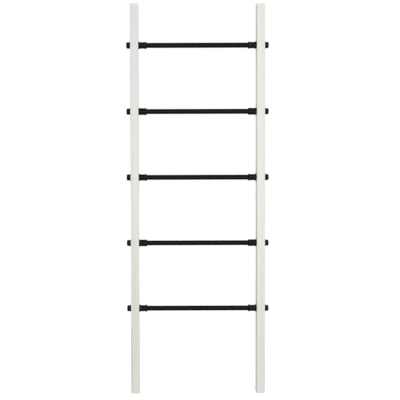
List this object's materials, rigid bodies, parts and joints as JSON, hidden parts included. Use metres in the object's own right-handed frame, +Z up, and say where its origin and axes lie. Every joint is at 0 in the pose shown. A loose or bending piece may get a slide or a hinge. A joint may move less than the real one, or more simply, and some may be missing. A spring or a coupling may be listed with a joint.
{
  "type": "blanket ladder",
  "caption": "Leaning blanket ladder with two square timber rails and black iron pipe rungs joined by couplings, nipples and domed caps.",
  "frame": {"origin": "on the floor, midway between the two rails and midway through their depth, with the ladder upright", "axes": "+Z up the rails, +X to the right as seen from the front, +Y to the back; the front faces -Y"},
  "size_m": [0.6126, 0.035, 1.676],
  "materials": {
    "rails": "whitewashed softwood, matt, with faint lengthwise grain",
    "pipe": "satin black paint on steel pipe",
    "fittings": "satin black paint on malleable iron, with a slight cast texture"
  },
  "bodies": {
    "root": {"left_rail": "rails", "right_rail": "rails", "rung_1_pipe": "pipe", "rung_1_coupling_left": "fittings", "rung_1_nipple_left": "pipe", "rung_1_cap_left": "fittings", "rung_1_coupling_right": "fittings", "rung_1_nipple_right": "pipe", "rung_1_cap_right": "fittings", "rung_2_pipe": "pipe", "rung_2_coupling_left": "fittings", "rung_2_nipple_left": "pipe", "rung_2_cap_left": "fittings", "rung_2_coupling_right": "fittings", "rung_2_nipple_right": "pipe", "rung_2_cap_right": "fittings", "rung_3_pipe": "pipe", "rung_3_coupling_left": "fittings", "rung_3_nipple_left": "pipe", "rung_3_cap_left": "fittings", "rung_3_coupling_right": "fittings", "rung_3_nipple_right": "pipe", "rung_3_cap_right": "fittings", "rung_4_pipe": "pipe", "rung_4_coupling_left": "fittings", "rung_4_nipple_left": "pipe", "rung_4_cap_left": "fittings", "rung_4_coupling_right": "fittings", "rung_4_nipple_right": "pipe", "rung_4_cap_right": "fittings", "rung_5_pipe": "pipe", "rung_5_coupling_left": "fittings", "rung_5_nipple_left": "pipe", "rung_5_cap_left": "fittings", "rung_5_coupling_right": "fittings", "rung_5_nipple_right": "pipe", "rung_5_cap_right": "fittings"}
  },
  "joints": []
}
